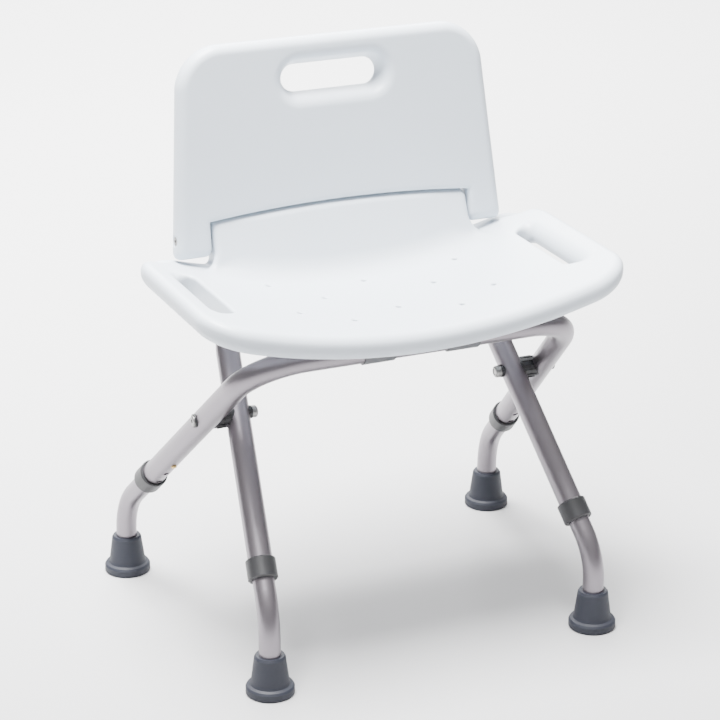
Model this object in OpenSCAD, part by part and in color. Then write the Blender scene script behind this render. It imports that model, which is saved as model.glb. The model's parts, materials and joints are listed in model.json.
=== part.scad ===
// Folding shower chair: moulded seat and backrest on two crossed U frames.
// +X is the viewer's right from the front, -Y is the front, z = 0 is the floor.

/* [Seat] */
// Height of the middle of the dished seat top above the floor
seat_z = 402.5; // [380:0.5:430]
// Radius of the dish across the seat
dish_r = 770; // [600:10:1000]
// Distance from the middle to each handle bar's centre line
handle_x = 251; // [235:1:265]
// Y of the front rim's centre line
seat_front_y = -154; // [-180:1:-150]
// Y of the rear rim's centre line
seat_rear_y = 97; // [80:1:115]
// Radius of the seat's front corners on the rim's centre line
front_corner_r = 38; // [30:1:80]
// Radius of the seat's rear corners on the rim's centre line
rear_corner_r = 45; // [30:1:60]
// Radius of the moulded rim bead
rim_r = 14; // [11:0.5:16]
// Diameter of the small drain holes
drain_d = 6; // [4:0.5:9]

/* [Backrest] */
// Height of the backrest's fold axis
hinge_z = 456; // [450:0.5:462]
// Y of the backrest's fold axis
hinge_y = 96; // [90:0.5:102]
// Lean of the backrest from upright, degrees
lean = 8; // [0:0.5:15]
// Length from the fold axis to the top edge
back_h = 225; // [200:1:250]
// Half width of the top edge
back_top_w = 192; // [170:1:205]
// Half width at the fold axis
back_low_w = 211; // [205:1:220]
// Outer radius of the top corners
back_corner_r = 50; // [35:1:70]
// Full thickness of the backrest
back_t = 28; // [24:1:32]
// Half length of the hand slot
slot_half = 62; // [50:1:75]
// Height of the hand slot
slot_h = 32; // [28:1:40]

/* [Tubes] */
// Outer diameter of the U frame tube
tube_d = 28.6; // [25.4:0.1:32]
// Wall of the U frame tube
tube_wall = 1.5; // [1.2:0.1:2]
// Outer diameter of the extension leg tube
leg_d = 25.4; // [22.2:0.1:28]
// Height of both crossbars
bar_z = 377; // [370:0.5:380]
// Y of the front crossbar, which is the outer frame's
bar_front_y = -131; // [-140:1:-120]
// Y of the pivot bolts
pivot_y = -19; // [-30:1:0]
// Height of the pivot bolts
pivot_z = 276; // [260:1:290]
// Y of the rear crossbar, which is the inner frame's
bar_rear_y = 73; // [65:1:85]
// X of the outer leg's centre at the pivot
outer_x = 218.6; // [210:0.2:225]
// X of the inner leg's centre at the pivot
inner_x = 179; // [170:0.5:185]
// Outward splay of the legs in the plane of each U, degrees
splay = 6.8; // [0:0.1:10]
// Bend radius of the U corners
u_bend_r = 70; // [55:1:80]

/* [Extension legs] */
// Pivot to end of the outer frame's tube
outer_end = 194.4; // [180:0.1:210]
// Pivot to end of the inner frame's tube
inner_end = 199.2; // [180:0.1:210]
// Distance between two snap holes
notch = 25.4; // [20:0.1:30]
// Tube end to the lowest snap hole
first_notch = 28.1; // [24:0.1:32]
// Bend radius of the extension legs
leg_bend_r = 80; // [60:1:90]
// Y of the feet, front and back
foot_y = 186; // [180:0.5:195]
// Height of the rubber foot
foot_h = 48; // [40:1:55]
// Diameter of the rubber foot's base
foot_d = 56.6; // [50:0.2:62]

/* [Hidden] */
$fn = 64;
// straight tubes reach this far into a bend, which is drawn a hair thinner
lap = 0.5;
draw = 0.02;
tr = tube_d / 2;
ti = tr - tube_wall;
lr = leg_d / 2;
li = lr - 1.5;
dish_c = seat_z + dish_r;
rim_c = dish_r + rim_r;
plate_t = 25;
rim_th = asin(handle_x / rim_c);
slope_o = atan2(bar_z - pivot_z, pivot_y - bar_front_y);
slope_i = atan2(bar_z - pivot_z, bar_rear_y - pivot_y);
so_p = norm([bar_z - pivot_z, pivot_y - bar_front_y]) / cos(splay);
si_p = norm([bar_z - pivot_z, bar_rear_y - pivot_y]) / cos(splay);
xo_0 = outer_x - so_p * sin(splay);
xi_0 = inner_x - si_p * sin(splay);
so_end = so_p + outer_end;
si_end = si_p + inner_end;
// button stations along the leg, counted from the virtual corner
so_b = so_end - first_notch - 2 * notch;
si_b = si_end - first_notch - 2 * notch;
// direction of each right leg: +X out, then back or front, then down
d_o = [sin(splay), cos(splay) * cos(slope_o), -cos(splay) * sin(slope_o)];
d_i = [sin(splay), -cos(splay) * cos(slope_i), -cos(splay) * sin(slope_i)];
p_o = [xo_0, bar_front_y, bar_z];
p_i = [xi_0, bar_rear_y, bar_z];
// where the leg's line meets the foot's upright line
so_f = (foot_y - bar_front_y) / (cos(splay) * cos(slope_o));
si_f = (foot_y + bar_rear_y) / (cos(splay) * cos(slope_i));
f_o = p_o + so_f * d_o;
f_i = p_i + si_f * d_i;
turn_o = acos(-d_o[2]);
turn_i = acos(-d_i[2]);
button_out = 2.6;
nub_r = 3.4;
back_end_w = back_low_w + 17 * (back_low_w - back_top_w) / back_h;
arch_end = 21;
arch_rise = 8;
gap_back = 3.5;
seat_clip_x = 62;
clamp_x = 53;

function unit(v) = v / norm(v);

// Euler angles of the frame whose x axis is a and z axis is c
function eul(a, c) = let (b = cross(c, a)) [atan2(b[2], c[2]), -asin(a[2]), atan2(a[1], a[0])];

module rod(p, d, r, len) {
  translate(p)
    rotate([0, acos(d[2]), atan2(d[1], d[0])])
      cylinder(r = r, h = len);
}

// Bent extension leg in its own plane: x outward, y up, the two straight lines meet at the origin
module bent(turn, start, drop, r) {
  tan_len = leg_bend_r * tan(turn / 2);
  rotate([0, 0, 90 + turn])
    translate([tan_len - lap, 0, 0])
      rotate([0, 90, 0])
        cylinder(r = r, h = start - tan_len + lap);
  translate([-leg_bend_r, -tan_len, 0])
    rotate_extrude(angle = turn, convexity = 4)
      translate([leg_bend_r, 0])
        circle(r = r - draw);
  translate([0, lap - tan_len, 0])
    rotate([90, 0, 0])
      cylinder(r = r, h = drop - tan_len + lap);
}

// Bend and leg on one side of a U in its own plane: x across, y along the leg
module u_side(x0, r, s_end) {
  turn = 90 - splay;
  tan_len = u_bend_r * tan(turn / 2);
  translate([x0 - tan_len, u_bend_r, 0])
    rotate([0, 0, -90])
      rotate_extrude(angle = turn, convexity = 4)
        translate([u_bend_r, 0])
          circle(r = r - draw);
  translate([x0 + (tan_len - lap) * sin(splay), (tan_len - lap) * cos(splay), 0])
    rotate([0, 0, -splay])
      rotate([-90, 0, 0])
        cylinder(r = r, h = s_end - tan_len + lap);
}

module crossbar(x0, r) {
  xs = x0 - u_bend_r * tan((90 - splay) / 2) + lap;
  translate([-xs, 0, 0])
    rotate([0, 90, 0])
      cylinder(r = r, h = 2 * xs);
}

// Straight stretch along one leg of a U in its own plane
module leg_line(x0, s0, s1, r) {
  translate([x0 + s0 * sin(splay), s0 * cos(splay), 0])
    rotate([0, 0, -splay])
      rotate([-90, 0, 0])
        cylinder(r = r, h = s1 - s0);
}

module place_outer() {
  translate([0, bar_front_y, bar_z])
    rotate([-slope_o, 0, 0])
      children();
}

module place_inner() {
  translate([0, bar_rear_y, bar_z])
    rotate([0, 0, 180])
      rotate([-slope_i, 0, 0])
        children();
}

module both() {
  children();
  mirror([1, 0, 0])
    children();
}

module snap_hole(x0, s, r) {
  translate([x0 + s * sin(splay), s * cos(splay), -tr - 3])
    cylinder(r = r, h = tr + 3);
}

module u_frame(x0, s_end) {
  difference() {
    union() {
      crossbar(x0, tr);
      both()
        u_side(x0, tr, s_end);
    }
    crossbar(x0, ti);
    both() {
      u_side(x0, ti, s_end + 1);
      for (k = [0:2])
        snap_hole(x0, s_end - first_notch - k * notch, 3.7);
    }
  }
}

module pivot_bore(r) {
  translate([-260, pivot_y, pivot_z])
    rotate([0, 90, 0])
      cylinder(r = r, h = 520);
}

module outer_frame() {
  color([0.74, 0.73, 0.75])
    difference() {
      place_outer()
        u_frame(xo_0, so_end);
      pivot_bore(4.15);
    }
}

module inner_frame() {
  color([0.74, 0.73, 0.75])
    difference() {
      place_inner()
        u_frame(xi_0, si_end);
      pivot_bore(4.05);
    }
}

// Extension leg on the right side, bent from direction d down to the floor
module leg_right(f, d, turn, s_f, s_b, z_end) {
  inner = s_f - s_b + 55;
  n = button_dir(d);
  h = unit([d[0], d[1], 0]);
  difference() {
    translate(f)
      rotate(eul(h, unit(cross(h, [0, 0, 1]))))
        difference() {
          bent(turn, inner, f[2] - z_end, lr);
          bent(turn, inner + 1, f[2] - z_end + 1, li);
        }
    translate(f - (s_f - s_b) * d)
      rotate([0, acos(n[2]), atan2(n[1], n[0])])
        cylinder(r = 3.6, h = lr + 4);
  }
}

// The button points out of the U's plane on the underside
function button_dir(d) = let (h = [0, d[1] / cos(splay), d[2] / cos(splay)]) [0, h[1] > 0 ? h[2] : -h[2], h[1] > 0 ? -h[1] : h[1]];

module leg_back_r() {
  color([0.78, 0.77, 0.79])
    leg_right(f_o, d_o, turn_o, so_f, so_b, 10.5);
}

module leg_back_l() {
  color([0.78, 0.77, 0.79])
    mirror([1, 0, 0])
      leg_right(f_o, d_o, turn_o, so_f, so_b, 10.5);
}

module leg_front_r() {
  color([0.78, 0.77, 0.79])
    mirror([0, 1, 0])
      leg_right([f_i[0], -f_i[1], f_i[2]], [d_i[0], -d_i[1], d_i[2]], turn_i, si_f, si_b, 10.5);
}

module leg_front_l() {
  mirror([1, 0, 0])
    leg_front_r();
}

module foot(f) {
  color([0.2, 0.22, 0.26])
    translate([f[0], f[1], 0])
      difference() {
        rotate_extrude()
          polygon([[0, 0], [foot_d / 2 - 1.5, 0], [foot_d / 2, 1.5], [foot_d / 2, 8.5], [foot_d / 2 - 1.6, 11],
            [23.2, 12.5], [22.2, 16], [18.2, foot_h - 2.5], [16.6, foot_h], [0, foot_h]]);
        translate([0, 0, 8])
          cylinder(r = lr + 0.05, h = foot_h);
        for (k = [0:2])
          translate([0, 0, -1])
            difference() {
              cylinder(r = 9 + 7 * k, h = 2.5);
              translate([0, 0, -1])
                cylinder(r = 6.5 + 7 * k, h = 5);
            }
      }
}

module foot_back_r() { foot(f_o); }
module foot_back_l() { mirror([1, 0, 0]) foot(f_o); }
module foot_front_r() { foot(f_i); }
module foot_front_l() { mirror([1, 0, 0]) foot(f_i); }

// Steel disc in the bottom of each foot, under the tube's end
module disc(f) {
  color([0.7, 0.7, 0.7])
    translate([f[0], f[1], 8.1])
      difference() {
        cylinder(r = lr - 0.1, h = 2.2);
        translate([0, 0, -1])
          cylinder(r = 4, h = 5);
      }
}

module disc_back_r() { disc(f_o); }
module disc_back_l() { mirror([1, 0, 0]) disc(f_o); }
module disc_front_r() { disc(f_i); }
module disc_front_l() { mirror([1, 0, 0]) disc(f_i); }

// Plastic collar over the end of the upper tube, with a lip that guides the leg
module collar() {
  color([0.42, 0.43, 0.46])
    rotate_extrude()
      polygon([[lr + 0.1, 4.2], [lr + 0.1, 0.15], [tr + 0.06, 0.15], [tr + 0.06, -20.8], [16.4, -20.8],
        [17.5, -19.6], [17.5, 2.6], [16.2, 4.2]]);
}

module on_outer(s) {
  place_outer()
    translate([xo_0 + s * sin(splay), s * cos(splay), 0])
      rotate([0, 0, -splay])
        rotate([-90, 0, 0])
          children();
}

module on_inner(s) {
  place_inner()
    translate([xi_0 + s * sin(splay), s * cos(splay), 0])
      rotate([0, 0, -splay])
        rotate([-90, 0, 0])
          children();
}

// The inner frame's plane is turned half round, so its first half is the left one
module collar_back_r() { on_outer(so_end) collar(); }
module collar_back_l() { mirror([1, 0, 0]) on_outer(so_end) collar(); }
module collar_front_l() { on_inner(si_end) collar(); }
module collar_front_r() { mirror([1, 0, 0]) on_inner(si_end) collar(); }

// Snap button: domed brass nub with a flange that rests inside the leg tube
module button() {
  color([0.8, 0.66, 0.36])
    rotate([90, 0, 0])
      rotate_extrude()
        polygon([[0, 9], [4.8, 9], [4.8, 9.9], [nub_r, 9.9], [nub_r, tr + button_out - 1.2],
          [nub_r - 1, tr + button_out - 0.3], [nub_r - 2.2, tr + button_out], [0, tr + button_out]]);
}

// V spring that pushes the button out, inside the leg tube
module v_spring() {
  color([0.6, 0.6, 0.62])
    translate([-3.5, 0, 0])
      rotate([0, 90, 0])
        linear_extrude(7)
          polygon([[6, -9.3], [-4, -8.6], [-40, -1.5], [-43, 0.5], [-41, 3], [-4, 8.9], [4, 8.9], [4, 8.1],
            [-4, 8.1], [-40, 2.1], [-41.6, 0.6], [-40, -0.7], [-4, -7.8], [6, -8.5]]);
}

module button_back_r() { on_outer(so_b) mirror([0, 1, 0]) button(); }
module button_back_l() { mirror([1, 0, 0]) on_outer(so_b) mirror([0, 1, 0]) button(); }
module button_front_l() { on_inner(si_b) mirror([0, 1, 0]) button(); }
module button_front_r() { mirror([1, 0, 0]) on_inner(si_b) mirror([0, 1, 0]) button(); }

module spring_back_r() { on_outer(so_b) v_spring(); }
module spring_back_l() { mirror([1, 0, 0]) on_outer(so_b) v_spring(); }
module spring_front_l() { on_inner(si_b) v_spring(); }
module spring_front_r() { mirror([1, 0, 0]) on_inner(si_b) v_spring(); }

// Plan of the seat to the rim's centre line
module seat_plan(g) {
  x = handle_x + g;
  rf = front_corner_r + g;
  rb = rear_corner_r + g;
  y0 = seat_front_y - g;
  y1 = seat_rear_y + g;
  polygon([[-x, y0 + rf], [-x + rf, y0], [x - rf, y0], [x, y0 + rf], [x, y1 - rb], [x - rb, y1],
    [-x + rb, y1], [-x, y1 - rb]]);
  for (m = [-1, 1]) {
    translate([m * (x - rf), y0 + rf])
      circle(r = rf, $fn = 96);
    translate([m * (x - rb), y1 - rb])
      circle(r = rb);
  }
}

// One layer of the seat, between two offsets from the middle surface of the dish
module seat_layer(g, t0, t1) {
  intersection() {
    translate([0, 0, seat_z - 60])
      linear_extrude(140)
        seat_plan(g);
    translate([0, -260, dish_c])
      rotate([-90, 0, 0])
        difference() {
          cylinder(r = rim_c + t1, h = 460, $fn = 256);
          translate([0, 0, -1])
            cylinder(r = rim_c + t0, h = 462, $fn = 256);
        }
  }
}

// Five layers make the rounded rim; the top is the lowest radius
module seat_slab() {
  seat_layer(rim_r - 7, -rim_r, 1 - rim_r * 0.86);
  seat_layer(rim_r - 2.6, -rim_r * 0.86, 1 - rim_r * 0.55);
  seat_layer(rim_r, -rim_r * 0.55, rim_r * 0.55);
  seat_layer(rim_r - 2.6, rim_r * 0.55 - 1, rim_r * 0.86);
  seat_layer(rim_r - 7, rim_r * 0.86 - 1, rim_r);
}

module handle_slot() {
  translate([handle_x - 31.5, 0, 380])
    linear_extrude(100) {
      translate([-11, -86])
        square([22, 116]);
      translate([0, -86])
        circle(r = 11);
      translate([0, 30])
        circle(r = 11);
    }
}

drain = [[121, 25], [70, -24], [123, -76], [67.5, -105.5]];

// Profile of a barrel about the fold axis: r at the ends, r + arch_rise in the middle
function barrel(r, w) = concat([[0, -w]], [for (k = [-8:8]) [r + arch_rise * (1 - k * k / 64), w * k / 8]], [[0, w]]);

// Round-topped tongue that stands up between the backrest's lugs
module tongue() {
  intersection() {
    translate([0, hinge_y, hinge_z])
      rotate([0, 90, 0])
        rotate_extrude($fn = 96)
          polygon(barrel(arch_end - gap_back, 166));
    // planar ramp down from the mouth of the gap
    translate([-180, 0, 0])
      rotate([90, 0, 90])
        linear_extrude(360)
          polygon([[67.4, 438], [87.2, 484], [114, 484], [114, 438]]);
    translate([-200, hinge_y - 30, hinge_z - 20])
      cube([400, 43.5, 60]);
  }
  translate([-166, 0, 0])
    rotate([90, 0, 90])
      linear_extrude(332)
        polygon([[44, 396], [52, 406.5], [60, 420], [66, 433], [77, 440.5], [82, 444], [109, 444], [110, 396]]);
  // flared foot, low enough for the lugs to pass over it
  translate([-178, 0, 0])
    rotate([90, 0, 90])
      linear_extrude(356)
        polygon([[50, 396], [57, 409], [64, 422], [70, 431], [76, 434], [82, 434], [84, 396]]);
}

module seat() {
  color([0.93, 0.94, 0.95])
    difference() {
      union() {
        seat_slab();
        tongue();
        both() {
          translate([clamp_x - 12, bar_front_y, 375.8])
            cube([22, 36, 14]);
          translate([seat_clip_x - 12, 26, 375.8])
            cube([24, 30, 14]);
        }
      }
      // channel for the front crossbar
      translate([-214, bar_front_y, bar_z])
        rotate([0, 90, 0])
          cylinder(r = tr + 1.3, h = 428);
      translate([-214, bar_front_y - tr - 1.3, 340])
        cube([428, 2 * tr + 2.6, bar_z - 340]);
      // open pocket for the rear crossbar, which slides out to the back
      translate([-174, bar_rear_y - tr - 2.7, 340])
        cube([348, 90, bar_z + tr + 1.5 - 340]);
      both() {
        handle_slot();
        for (p = drain)
          translate([p[0], p[1], 370])
            cylinder(d = drain_d, h = 60);
        translate([clamp_x - 19.3, bar_front_y - tr - 3.5, 360])
          cube([38.6, 6, 25]);
        // flat for the strap's screw tab
        translate([clamp_x - 19.3, bar_front_y + 13, 360])
          cube([38.6, 25, 15.76]);
        translate([clamp_x - 1, bar_front_y + 26, 370])
          cylinder(r = 2.15, h = 19);
        translate([seat_clip_x, 40, 370])
          cylinder(r = 2.15, h = 19);
        translate([140, hinge_y, hinge_z])
          rotate([0, 90, 0])
            cylinder(r = 4.05, h = 40);
      }
      for (y = [22, -77])
        translate([0, y, 370])
          cylinder(d = drain_d, h = 60);
    }
}

module in_back() {
  translate([0, hinge_y, hinge_z])
    rotate([-lean, 0, 0])
      children();
}

// Backrest outline, inset by g: x across, y up from the fold axis
module back_plan(g) {
  k = (back_low_w - back_top_w) / back_h;
  sa = atan(k);
  top = back_h - g;
  rc = back_corner_r - g;
  w0 = back_low_w - g / cos(sa);
  cz = top - rc;
  cx = w0 - k * cz - rc / cos(sa);
  px = cx + rc * cos(sa);
  pz = cz + rc * sin(sa);
  zb = -30;
  polygon([[w0 - k * zb, zb], [px, pz], [cx, top], [-cx, top], [-px, pz], [-w0 + k * zb, zb]]);
  for (m = [-1, 1])
    translate([m * cx, cz])
      circle(r = rc);
}

module back_layer(g, t) {
  rotate([90, 0, 0])
    translate([0, 0, -t])
      linear_extrude(2 * t)
        back_plan(g);
}

module back_solid() {
  h = back_t / 2;
  back_layer(7, h);
  back_layer(2.6, h * 0.86);
  back_layer(0, h * 0.55);
}

module arch_cut(r) {
  rotate([0, 90, 0])
    rotate_extrude($fn = 96)
      polygon(barrel(r, 167.5));
}

module backrest() {
  color([0.93, 0.94, 0.95])
    in_back()
      difference() {
        back_solid();
        arch_cut(arch_end);
        translate([-167.5, -40, -60])
          cube([335, 80, 60]);
        // round the lugs about the fold axis
        difference() {
          translate([-300, -60, -60])
            cube([600, 120, 60]);
          translate([-301, 0, 0])
            rotate([0, 90, 0])
              cylinder(r = 21.5, h = 602);
        }
        // hand slot
        rotate([90, 0, 0])
          translate([0, 175, -40])
            linear_extrude(80) {
              translate([-slot_half + slot_h / 2, -slot_h / 2])
                square([2 * slot_half - slot_h, slot_h]);
              for (m = [-1, 1])
                translate([m * (slot_half - slot_h / 2), 0])
                  circle(d = slot_h);
            }
        both()
          translate([150, 0, 0])
            rotate([0, 90, 0])
              cylinder(r = 6.05, h = 100);
      }
}

// Sleeve in each lug that turns on the hinge pin
module bush() {
  color([0.35, 0.36, 0.4])
    translate([168.5, hinge_y, hinge_z])
      rotate([0, 90, 0])
        difference() {
          cylinder(r = 6, h = 37);
          translate([0, 0, -1])
            cylinder(r = 4.05, h = 60);
        }
}

module bush_r() { bush(); }
module bush_l() { mirror([1, 0, 0]) bush(); }

module hinge_pin() {
  color([0.7, 0.7, 0.72])
    translate([144, hinge_y, hinge_z])
      rotate([0, 90, 0])
        difference() {
          rotate_extrude()
            polygon([[0, 0], [3.2, 0], [4, 1], [4, 61.8], [5.6, 61.8], [5.6, 64.6], [4.8, 65.4], [0, 65.4]]);
          // hex socket
          translate([0, 0, 63.2])
            cylinder(r = 2.6, h = 6, $fn = 6);
        }
}

module hinge_pin_r() { hinge_pin(); }
module hinge_pin_l() { mirror([1, 0, 0]) hinge_pin(); }

// Two saddle straps hold the front crossbar up; each hooks into the rim and takes one screw
module strap() {
  color([0.3, 0.31, 0.33])
    translate([clamp_x - 19, bar_front_y, bar_z])
      rotate([90, 0, 90])
        difference() {
          union() {
            linear_extrude(38)
              difference() {
                circle(r = tr + 1.7);
                circle(r = tr + 0.1);
                translate([-60, -1.3])
                  square([120, 40]);
              }
            linear_extrude(38)
              translate([-tr - 1.7, -1.4])
                square([1.6, 8.6]);
            translate([0, 0, 8])
              linear_extrude(20)
                translate([tr + 0.3, -4.3])
                  square([19.5, 3]);
          }
          translate([26, 0, 18])
            rotate([90, 0, 0])
              cylinder(r = 2.2, h = 10);
        }
}

module strap_r() { strap(); }
module strap_l() { mirror([1, 0, 0]) strap(); }

module screw(x, y, z) {
  translate([x, y, z])
    difference() {
      rotate_extrude($fn = 32)
        polygon([[0, 14], [1.2, 14], [2.1, 12.5], [2.1, 0], [4.5, 0], [4.5, -1.4], [3.4, -2.6], [0, -2.9]]);
      for (a = [0, 90])
        rotate([0, 0, a])
          translate([-2.4, -0.5, -4])
            cube([4.8, 1, 2.6]);
    }
}

// Two identical screws, one through each strap
module strap_screws() {
  color([0.7, 0.7, 0.72])
    both()
      screw(clamp_x - 1, bar_front_y + 26, bar_z - 4.35);
}

// Two hooks that the rear crossbar pushes into from behind
module hook() {
  color([0.86, 0.87, 0.89])
    translate([seat_clip_x - 11, bar_rear_y, bar_z])
      rotate([90, 0, 90])
        difference() {
          linear_extrude(22) {
            difference() {
              union() {
                circle(r = tr + 4.6);
                translate([-45, -4.3])
                  square([40, 3]);
              }
              circle(r = tr + 1.2);
              translate([-60, -1.3])
                square([120, 40]);
              translate([3, -60])
                square([60, 80]);
              translate([-14, -4.4])
                square([20, 5]);
            }
            translate([1.5, -tr - 4.6])
              square([2.5, 2.4]);
          }
          translate([40 - bar_rear_y, 0, 11])
            rotate([90, 0, 0])
              cylinder(r = 2.2, h = 10);
        }
}

module hook_r() { hook(); }
module hook_l() { mirror([1, 0, 0]) hook(); }

module hook_screws() {
  color([0.7, 0.7, 0.72])
    both()
      screw(seat_clip_x, 40, bar_z - 4.35);
}

// Through bolt at each pivot, low head outside
module pivot_bolt() {
  color([0.72, 0.72, 0.74])
    translate([155.5, pivot_y, pivot_z])
      rotate([0, 90, 0])
        difference() {
          rotate_extrude()
            polygon([[0, 0], [3.4, 0], [4, 0.8], [4, 78.35], [6.4, 78.35], [6.2, 79.6], [4.6, 80.3], [0, 80.4]]);
          translate([0, 0, 78.6])
            cylinder(r = 2.6, h = 5, $fn = 6);
        }
}

module pivot_bolt_r() { pivot_bolt(); }
module pivot_bolt_l() { mirror([1, 0, 0]) pivot_bolt(); }

module pivot_nut() {
  color([0.72, 0.72, 0.74])
    translate([156.4, pivot_y, pivot_z])
      rotate([0, 90, 0])
        rotate_extrude()
          polygon([[4.05, -1.4], [5, -1.4], [6.5, -0.5], [7.3, 1.2], [7.3, 5.8], [4.05, 5.8]]);
}

module pivot_nut_r() { pivot_nut(); }
module pivot_nut_l() { mirror([1, 0, 0]) pivot_nut(); }

// Washers and half spacers are cut to the tube they sit on
module shaped(x0, x1, r, bore) {
  translate([x0, pivot_y, pivot_z])
    rotate([0, 90, 0])
      difference() {
        cylinder(r = r, h = x1 - x0);
        translate([0, 0, -1])
          cylinder(r = bore, h = 60);
      }
}

module tube_out(r) {
  place_outer()
    leg_line(xo_0, 90, so_end, r);
}

module tube_in(r) {
  mirror([1, 0, 0])
    place_inner()
      leg_line(xi_0, 80, si_end, r);
}

module washer_out() {
  color([0.2, 0.2, 0.22])
    difference() {
      shaped(226, 233.8, 8, 4.15);
      tube_out(tr + 0.02);
      translate([200, -200, 100])
        cube([outer_x - 200, 400, 400]);
    }
}

module washer_in() {
  color([0.2, 0.2, 0.22])
    difference() {
      shaped(162.4, 172, 7.8, 4.05);
      tube_in(tr + 0.02);
    }
}

module spacer_out() {
  color([0.13, 0.13, 0.14])
    difference() {
      union() {
        shaped(199, 214, 12.5, 4.15);
        for (k = [0:11])
          translate([199, pivot_y, pivot_z])
            rotate([30 * k, 0, 0])
              translate([0, 12, -1])
                cube([8, 1.6, 2]);
      }
      tube_out(tr + 0.02);
      translate([outer_x, -200, 100])
        cube([100, 400, 400]);
    }
}

module spacer_in() {
  color([0.13, 0.13, 0.14])
    difference() {
      union() {
        shaped(183, 198.6, 12.5, 4.05);
        for (k = [0:11])
          translate([190.6, pivot_y, pivot_z])
            rotate([30 * k, 0, 0])
              translate([0, 12, -1])
                cube([8, 1.6, 2]);
      }
      tube_in(tr + 0.02);
      translate([0, -200, 100])
        cube([inner_x, 400, 400]);
    }
}

module washer_out_r() { washer_out(); }
module washer_out_l() { mirror([1, 0, 0]) washer_out(); }
module washer_in_r() { washer_in(); }
module washer_in_l() { mirror([1, 0, 0]) washer_in(); }
module spacer_out_r() { spacer_out(); }
module spacer_out_l() { mirror([1, 0, 0]) spacer_out(); }
module spacer_in_r() { spacer_in(); }
module spacer_in_l() { mirror([1, 0, 0]) spacer_in(); }

seat();
backrest();
outer_frame();
inner_frame();
leg_back_r();
leg_back_l();
leg_front_r();
leg_front_l();
foot_back_r();
foot_back_l();
foot_front_r();
foot_front_l();
disc_back_r();
disc_back_l();
disc_front_r();
disc_front_l();
collar_back_r();
collar_back_l();
collar_front_r();
collar_front_l();
button_back_r();
button_back_l();
button_front_r();
button_front_l();
spring_back_r();
spring_back_l();
spring_front_r();
spring_front_l();
bush_r();
bush_l();
hinge_pin_r();
hinge_pin_l();
strap_r();
strap_l();
strap_screws();
hook_r();
hook_l();
hook_screws();
pivot_bolt_r();
pivot_bolt_l();
pivot_nut_r();
pivot_nut_l();
washer_out_r();
washer_out_l();
washer_in_r();
washer_in_l();
spacer_out_r();
spacer_out_l();
spacer_in_r();
spacer_in_l();
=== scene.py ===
import bpy, math, json
import numpy as np
from mathutils import Euler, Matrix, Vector


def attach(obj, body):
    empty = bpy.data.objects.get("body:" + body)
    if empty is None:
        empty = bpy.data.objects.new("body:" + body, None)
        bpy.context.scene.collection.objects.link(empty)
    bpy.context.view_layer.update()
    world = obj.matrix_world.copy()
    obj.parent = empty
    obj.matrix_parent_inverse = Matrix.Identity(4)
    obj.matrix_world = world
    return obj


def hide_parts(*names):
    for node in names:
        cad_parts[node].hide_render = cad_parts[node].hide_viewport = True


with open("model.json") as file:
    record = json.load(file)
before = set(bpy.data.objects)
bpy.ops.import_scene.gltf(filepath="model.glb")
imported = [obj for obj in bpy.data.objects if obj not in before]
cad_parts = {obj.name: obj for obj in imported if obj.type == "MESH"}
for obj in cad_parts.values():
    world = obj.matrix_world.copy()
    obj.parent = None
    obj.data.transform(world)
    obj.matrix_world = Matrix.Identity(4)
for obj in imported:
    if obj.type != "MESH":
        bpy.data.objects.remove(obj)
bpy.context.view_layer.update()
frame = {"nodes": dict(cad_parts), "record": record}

# ---------- sizes of the two mouldings, in millimetres ----------
HALF_THICK = 14.0
HINGE_Y, HINGE_Z = 96.0, 456.0
LEAN = math.radians(8)
# the arch between the backrest's lugs: barrels about the hinge axis, higher in the middle
ARCH_RISE = 8.0
TONGUE_R, TONGUE_X = 18.4, 166.0
NOTCH_R, NOTCH_X = 21.0, 167.5
TONGUE_GROWTH = 1.5
LUG_SWEEP_R = 23.4
# the seat: its edges are counted from the middle, its dish is a wide cylinder
SEAT_X, SEAT_FRONT, SEAT_REAR = 265.0, 168.0, 111.0
SEAT_MIDDLE = -28.5
FRONT_R, REAR_R = 52.0, 59.0
DISH_R, DISH_Z = 784.0, 1172.5
SLOT_X, SLOT_Y, SLOT_HALF, SLOT_R = 219.5, -28.0, 58.0, 11.2
DRAINS = ((121, 25), (70, -24), (123, -76), (67.5, -105.5), (0, 22), (0, -77))
PADS = ((52, -113, 11, 18), (62, 41, 12, 15))
BAR_Y, BAR_Z, CHANNEL_R = -131.0, 377.0, 15.6
# the backrest: its sides draw in towards the top
BACK_X, BACK_TOP, BACK_BOTTOM, BACK_TAPER = 211.0, 225.0, 22.5, 19.0 / 225.0
BACK_R = 50.0
GRIP_V, GRIP_HALF, GRIP_R = 175.0, 44.5, 15.4
PIN_R, PIN_X = 6.2, 204.0
GRID_STEP = 1.8


# ---------- signed distances, negative inside ----------
def smooth_min(a, b, k):
    h = np.clip(0.5 + 0.5 * (b - a) / k, 0, 1)
    return b + (a - b) * h - k * h * (1 - h)


def smooth_max(a, b, k):
    return -smooth_min(-a, -b, k)


def corner(qx, qy, r):
    """Two distances joined by a round corner of radius r."""
    ax, ay = qx + r, qy + r
    return np.minimum(np.maximum(ax, ay), 0) + np.hypot(np.maximum(ax, 0), np.maximum(ay, 0)) - r


def fade(value, start, length):
    """0 before start, 1 after start + length."""
    return np.clip((value - start) / length, 0, 1)


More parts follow.
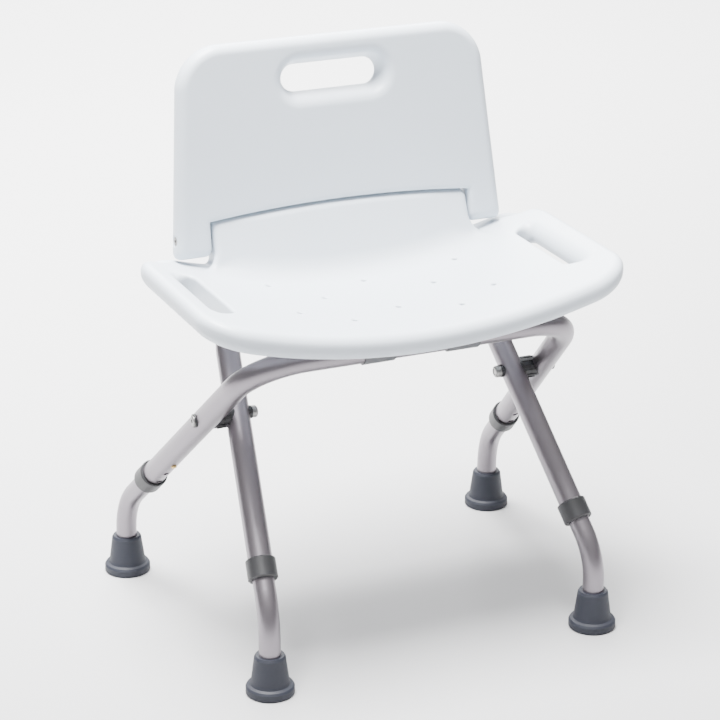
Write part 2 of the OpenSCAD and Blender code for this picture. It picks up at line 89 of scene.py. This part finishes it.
def tongue(x, y, z):
    """A barrel under the gap, and a ramp down to the seat that is lower near its ends."""
    r = TONGUE_R + ARCH_RISE * np.clip(1 - (x / TONGUE_X) ** 2, 0, 1)
    from_hinge = np.hypot(y - HINGE_Y, z - HINGE_Z)
    # the ramp starts where the barrel meets the front face of the backrest
    v = np.sqrt(r * r - HALF_THICK ** 2)
    gap_y, gap_z = 82.1 + 0.139 * v, 457.95 + 0.99 * v
    ramp = -(y - gap_y) * 0.921 + (z - gap_z) * 0.39 + 1.7 * fade(x, 95.0, 45.0)
    flare = np.clip((452.0 - z) / 24.0, 0, 1) ** 2 * np.clip((84.0 - y) / 12.0, 0, 1)
    barrel = from_hinge - r - TONGUE_GROWTH * fade(y, 92.0, 8.0)
    body = np.maximum(np.where(z > HINGE_Z, barrel, -99.0), 388.0 - z)
    body = np.maximum(np.maximum(body, z - (HINGE_Z + 1.5) - r), y - 109.5)
    body = smooth_max(smooth_max(body, ramp, 3.0), x - (165.6 + 9.5 * flare), 9.0)
    return np.maximum(body, 0.8 * (x - 178.0)), from_hinge


def seat_shape(x, y, z):
    x = np.abs(x)
    plan = np.where(y < SEAT_MIDDLE, corner(x - SEAT_X, -y - SEAT_FRONT, FRONT_R),
                    corner(x - SEAT_X, y - SEAT_REAR, REAR_R))
    dish = DISH_R - np.hypot(x, z - DISH_Z)
    f = corner(plan, np.abs(dish) - HALF_THICK, 13.0)
    # a wide fillet in front of the tongue, a small one at its ends, and room for the lugs to turn
    body, from_hinge = tongue(x, y, z)
    f = smooth_min(f, body, 24.0 - 15.0 * (fade(x, 138.0, 26.0) * fade(y, 40.0, 36.0)))
    f = smooth_max(f, -np.maximum(from_hinge - LUG_SWEEP_R, 166.6 - x), 1.5)
    f = np.maximum(f, y - SEAT_REAR)
    slot = np.hypot(x - SLOT_X, np.maximum(np.abs(y - SLOT_Y) - SLOT_HALF, 0)) - SLOT_R
    f = smooth_max(f, -slot, 5.0 + 11.0 * fade(x, 216.0, 14.0))
    for drain_x, drain_y in DRAINS:
        f = smooth_max(f, 3.0 - np.hypot(x - drain_x, y - drain_y), 2.5)
    # pads under the seat for the straps and hooks: middle x and y, half width and half depth
    for pad_x, pad_y, half_x, half_y in PADS:
        outline = np.maximum(np.abs(x - pad_x) - half_x, np.abs(y - pad_y) - half_y)
        f = smooth_min(f, np.maximum(outline, np.abs(z - 384.0) - 8.2), 2.0)
    # channel of the front crossbar, open below, and the pocket of the rear one
    channel = np.hypot(y - BAR_Y, z - BAR_Z) - CHANNEL_R
    channel = np.minimum(channel, np.maximum(np.abs(y - BAR_Y) - CHANNEL_R, z - BAR_Z))
    f = smooth_max(f, -np.maximum(channel, x - 214.0), 2.0)
    f = smooth_max(f, -np.maximum(np.maximum(x - 174.0, 56.0 - y), z - 392.8), 2.0)
    strap_tab = np.maximum(np.maximum(np.abs(x - 53.0) - 19.3, np.abs(y + 145.8) - 3.0), z - 385.0)
    return np.maximum(f, -strap_tab)


def back_shape(x, y, z):
    x = np.abs(x)
    y, z = y - HINGE_Y, z - HINGE_Z
    # v runs up the leaning backrest, t through it towards the rear
    v = z * math.cos(LEAN) + y * math.sin(LEAN)
    t = y * math.cos(LEAN) - z * math.sin(LEAN)
    side = (x - (BACK_X - BACK_TAPER * v)) / math.hypot(1, BACK_TAPER)
    plan = smooth_max(corner(side, v - BACK_TOP, BACK_R), -BACK_BOTTOM - v, 10.0)
    f = corner(plan, np.abs(t) - HALF_THICK, 12.0)
    from_hinge = np.hypot(t, v)
    # the notch's front edge is rounder, to clear the tongue's foot when folded
    arch = NOTCH_R + ARCH_RISE * np.clip(1 - (x / NOTCH_X) ** 2, -0.3, 1)
    notch = np.maximum(np.minimum(from_hinge - arch, v), x - NOTCH_X)
    f = smooth_max(f, -notch, np.where(t < 0, 8.8, 3.5))
    # hand slot: a funnel whose throat is at the back face
    slot = np.hypot(np.maximum(x - GRIP_HALF, 0), v - GRIP_V) - GRIP_R - 0.42 * np.maximum(11.0 - t, 0)
    f = smooth_max(f, -0.92 * slot, 9.0 - 3.0 * np.clip(t / HALF_THICK, 0, 1))
    return np.maximum(f, -np.maximum(from_hinge - PIN_R, PIN_X - x))


# ---------- surface nets on a regular grid, then drawn onto the true surface ----------
def cell_vertices(field, inside):
    """One vertex in each cell the surface crosses, at the mean of the crossings on its edges."""
    size = [m - 1 for m in field.shape]
    corners = [(a, b, c) for a in (0, 1) for b in (0, 1) for c in (0, 1)]
    count = np.zeros(size, np.int8)
    for a, b, c in corners:
        count += inside[a:size[0] + a, b:size[1] + b, c:size[2] + c]
    cells = np.argwhere((count > 0) & (count < 8))
    number = np.full(size, -1, np.int32)
    number[tuple(cells.T)] = np.arange(len(cells))
    value = {c: field[tuple((cells + c).T)] for c in corners}
    total, hits = np.zeros((len(cells), 3)), np.zeros(len(cells))
    for start in corners:
        for k in range(3):
            if start[k]:
                continue
            end = start[:k] + (1,) + start[k + 1:]
            cross = (value[start] < 0) != (value[end] < 0)
            part = np.where(cross, value[start] / np.where(cross, value[start] - value[end], 1), 0)
            point = np.tile(np.array(start, float), (len(cells), 1))
            point[:, k] += part
            total += point * cross[:, None]
            hits += cross
    return cells + total / hits[:, None], number


def cell_faces(inside, number):
    """One quad around each grid edge that the surface crosses."""
    n, quads = inside.shape, []
    for k in range(3):
        u, w = (k + 1) % 3, (k + 2) % 3
        low, high = [slice(None)] * 3, [slice(None)] * 3
        low[k], high[k] = slice(0, -1), slice(1, None)
        a, b = inside[tuple(low)], inside[tuple(high)]
        edges = np.argwhere(a != b)
        edges = edges[(edges[:, u] > 0) & (edges[:, w] > 0)
                      & (edges[:, u] < n[u] - 1) & (edges[:, w] < n[w] - 1)]
        outward = a[tuple(edges.T)]
        ring = []
        for du, dw in ((-1, -1), (0, -1), (0, 0), (-1, 0)):
            cell = edges.copy()
            cell[:, u] += du
            cell[:, w] += dw
            ring.append(number[tuple(cell.T)])
        ring = np.stack(ring, 1)
        ring[~outward] = ring[~outward][:, ::-1]
        quads.append(ring)
    return np.concatenate(quads)


def settle(points, shape, step):
    """Move the points along the gradient onto the zero level, in three short steps."""
    reach = 0.25
    for _ in range(3):
        slope = np.zeros_like(points)
        for k in range(3):
            d = np.zeros(3)
            d[k] = reach
            slope[:, k] = (shape(*(points + d).T) - shape(*(points - d).T)) / (2 * reach)
        square = (slope ** 2).sum(1)
        move = -slope * (shape(*points.T) / np.maximum(square, 0.2))[:, None]
        length = np.linalg.norm(move, axis=1)
        points = points + move * np.minimum(1, 0.5 * step / np.maximum(length, 1e-9))[:, None]
    return points


def new_object(name, points, faces):
    mesh = bpy.data.meshes.new(name)
    mesh.from_pydata(points, [], faces)
    mesh.update()
    ob = bpy.data.objects.new(name, mesh)
    bpy.context.scene.collection.objects.link(ob)
    return ob


def shell(name, node, shape, low, high):
    axes = [np.arange(low[i], high[i] + GRID_STEP, GRID_STEP) for i in range(3)]
    field = np.empty([len(a) for a in axes], np.float32)
    grid_y, grid_z = np.meshgrid(axes[1], axes[2], indexing="ij")
    for i, x in enumerate(axes[0]):
        field[i] = shape(np.full_like(grid_y, x), grid_y, grid_z)
    inside = field < 0
    points, number = cell_vertices(field, inside)
    faces = cell_faces(inside, number)
    points = settle(points * GRID_STEP + np.array([a[0] for a in axes]), shape, GRID_STEP)
    ob = new_object(name, (points / 1000.0).tolist(), faces.tolist())
    ob.data.polygons.foreach_set("use_smooth", np.ones(len(faces), bool))
    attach(ob, node)
    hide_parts(node)
    return ob


seat = shell("seat_shell", "seat", seat_shape, (-270, -174, 366), (270, 116, 488))
back = shell("backrest_shell", "backrest", back_shape, (-218, 70, 426), (218, 148, 684))


# ---------- materials ----------
def material(name, base, rough, vary, grain, bump, metal=0.0, rough_spread=0.06):
    """Procedural surface: faint large blotches in the colour, fine grain in roughness and height."""
    m = bpy.data.materials.new(name)
    m.use_nodes = True
    nodes, link = m.node_tree.nodes, m.node_tree.links.new
    surface = nodes["Principled BSDF"]
    surface.inputs["Metallic"].default_value = metal
    place = nodes.new("ShaderNodeTexCoord")

    def noise(scale, detail):
        node = nodes.new("ShaderNodeTexNoise")
        node.inputs["Scale"].default_value = scale
        node.inputs["Detail"].default_value = detail
        link(place.outputs["Object"], node.inputs["Vector"])
        return node.outputs["Fac"]

    ramp = nodes.new("ShaderNodeValToRGB")
    for end, position, factor in ((0, 0.3, 1 - vary), (1, 0.7, 1 + vary)):
        ramp.color_ramp.elements[end].position = position
        ramp.color_ramp.elements[end].color = [min(1, c * factor) for c in base] + [1]
    link(noise(14.0, 4.0), ramp.inputs["Fac"])
    link(ramp.outputs["Color"], surface.inputs["Base Color"])
    fine = noise(grain, 3.0)
    spread = nodes.new("ShaderNodeMapRange")
    spread.inputs["To Min"].default_value = rough - rough_spread
    spread.inputs["To Max"].default_value = rough + rough_spread
    link(fine, spread.inputs["Value"])
    link(spread.outputs[0], surface.inputs["Roughness"])
    relief = nodes.new("ShaderNodeBump")
    relief.inputs["Strength"].default_value = bump
    relief.inputs["Distance"].default_value = 0.0005
    link(fine, relief.inputs["Height"])
    link(relief.outputs[0], surface.inputs["Normal"])
    return m


# the base colours were fitted under this scene's light, they are not measured
MATERIALS = {
    "white_plastic": material("white_hdpe", (0.60, 0.65, 0.705), 0.4, 0.008, 900, 0.06, rough_spread=0.04),
    "tube": material("anodised_tube", (0.235, 0.215, 0.235), 0.36, 0.02, 1500, 0.05, metal=0.95),
    "foot_rubber": material("foot_rubber", (0.012, 0.014, 0.024), 0.6, 0.12, 1300, 0.07, rough_spread=0.1),
    "grey_plastic": material("grey_collar", (0.024, 0.024, 0.026), 0.45, 0.05, 1500, 0.1),
    "black_plastic": material("black_spacer", (0.02, 0.02, 0.022), 0.5, 0.1, 1500, 0.1),
    "dark_strap": material("dark_strap", (0.09, 0.093, 0.1), 0.5, 0.1, 1500, 0.1),
    "steel": material("zinc_steel", (0.3, 0.295, 0.29), 0.42, 0.06, 900, 0.08, metal=1.0),
    "brass": material("brass", (0.62, 0.45, 0.2), 0.3, 0.05, 900, 0.05, metal=1.0),
}
for moulding in (seat, back):
    moulding.data.materials.append(MATERIALS["white_plastic"])
slots = {part["node"]: part["material_slot"] for part in frame["record"]["subparts"]}
for name, ob in frame["nodes"].items():
    chosen = MATERIALS[slots[name]]
    if not ob.data.materials:
        ob.data.materials.append(chosen)
    for i in range(len(ob.material_slots)):
        ob.material_slots[i].material = chosen

# ---------- floor, greyer under and in front of the chair and paler behind it: painted shade around the chair, which also lets little light come up from below ---
FLOOR_HALF = 12.0
floor = new_object("floor", [(sx * FLOOR_HALF, sy * FLOOR_HALF, 0)
                             for sx, sy in ((-1, -1), (1, -1), (1, 1), (-1, 1))], [(0, 1, 2, 3)])
paint = bpy.data.materials.new("floor")
paint.use_nodes = True
nodes, link = paint.node_tree.nodes, paint.node_tree.links.new
surface = nodes["Principled BSDF"]
surface.inputs["Roughness"].default_value = 0.9
surface.inputs["Specular IOR Level"].default_value = 0.1
place = nodes.new("ShaderNodeTexCoord")
split = nodes.new("ShaderNodeSeparateXYZ")
depth = nodes.new("ShaderNodeMapRange")
depth.interpolation_type = "SMOOTHSTEP"
depth.inputs["From Min"].default_value = -0.6
depth.inputs["From Max"].default_value = 2.4
# painted shade: the floor's colour is grey at the chair and near white behind it
painted_floor_shade = nodes.new("ShaderNodeValToRGB")
painted_floor_shade.color_ramp.elements[0].color = (0.46, 0.46, 0.465, 1)
painted_floor_shade.color_ramp.elements[1].color = (0.97, 0.97, 0.97, 1)
link(place.outputs["Object"], split.inputs[0])
link(split.outputs["Y"], depth.inputs["Value"])
link(depth.outputs[0], painted_floor_shade.inputs["Fac"])
link(painted_floor_shade.outputs["Color"], surface.inputs["Base Color"])
floor.data.materials.append(paint)

# ---------- world, brighter overhead, so that round tubes get a light and a dark side ----------
world = bpy.data.worlds.new("studio")
bpy.context.scene.world = world
world.use_nodes = True
nodes, link = world.node_tree.nodes, world.node_tree.links.new
place = nodes.new("ShaderNodeTexCoord")
split = nodes.new("ShaderNodeSeparateXYZ")
sky = nodes.new("ShaderNodeValToRGB")
sky.color_ramp.elements[0].color = (0.16, 0.16, 0.17, 1)
sky.color_ramp.elements[1].position = 0.85
sky.color_ramp.elements[1].color = (1.0, 1.0, 1.0, 1)
link(place.outputs["Generated"], split.inputs[0])
link(split.outputs["Z"], sky.inputs["Fac"])
link(sky.outputs["Color"], nodes["Background"].inputs[0])
nodes["Background"].inputs[1].default_value = 1.2


def area(name, location, aim, size, power):
    light = bpy.data.lights.new(name, "AREA")
    light.shape = "RECTANGLE"
    light.size, light.size_y = size
    light.energy = power
    ob = bpy.data.objects.new(name, light)
    ob.location = location
    ob.rotation_euler = (Vector(aim) - Vector(location)).to_track_quat("-Z", "Y").to_euler()
    bpy.context.scene.collection.objects.link(ob)


area("key", (-0.4, 0.12, 2.9), (0, 0, 0.4), (1.5, 1.2), 560)
area("backdrop", (1.0, 3.6, 3.0), (0.9, 3.4, 0.0), (3.0, 2.4), 420)

# ---------- camera ----------
lens = bpy.data.cameras.new("camera")
lens.sensor_width = 36.0
lens.lens = 130.25085
lens.clip_end = 60
camera = bpy.data.objects.new("camera", lens)
camera.location = (-1.18635, -2.642866, 1.427954)
camera.rotation_euler = Euler([math.radians(a) for a in (68.875804, -0.109074, -23.865401)])
bpy.context.scene.collection.objects.link(camera)
bpy.context.scene.camera = camera
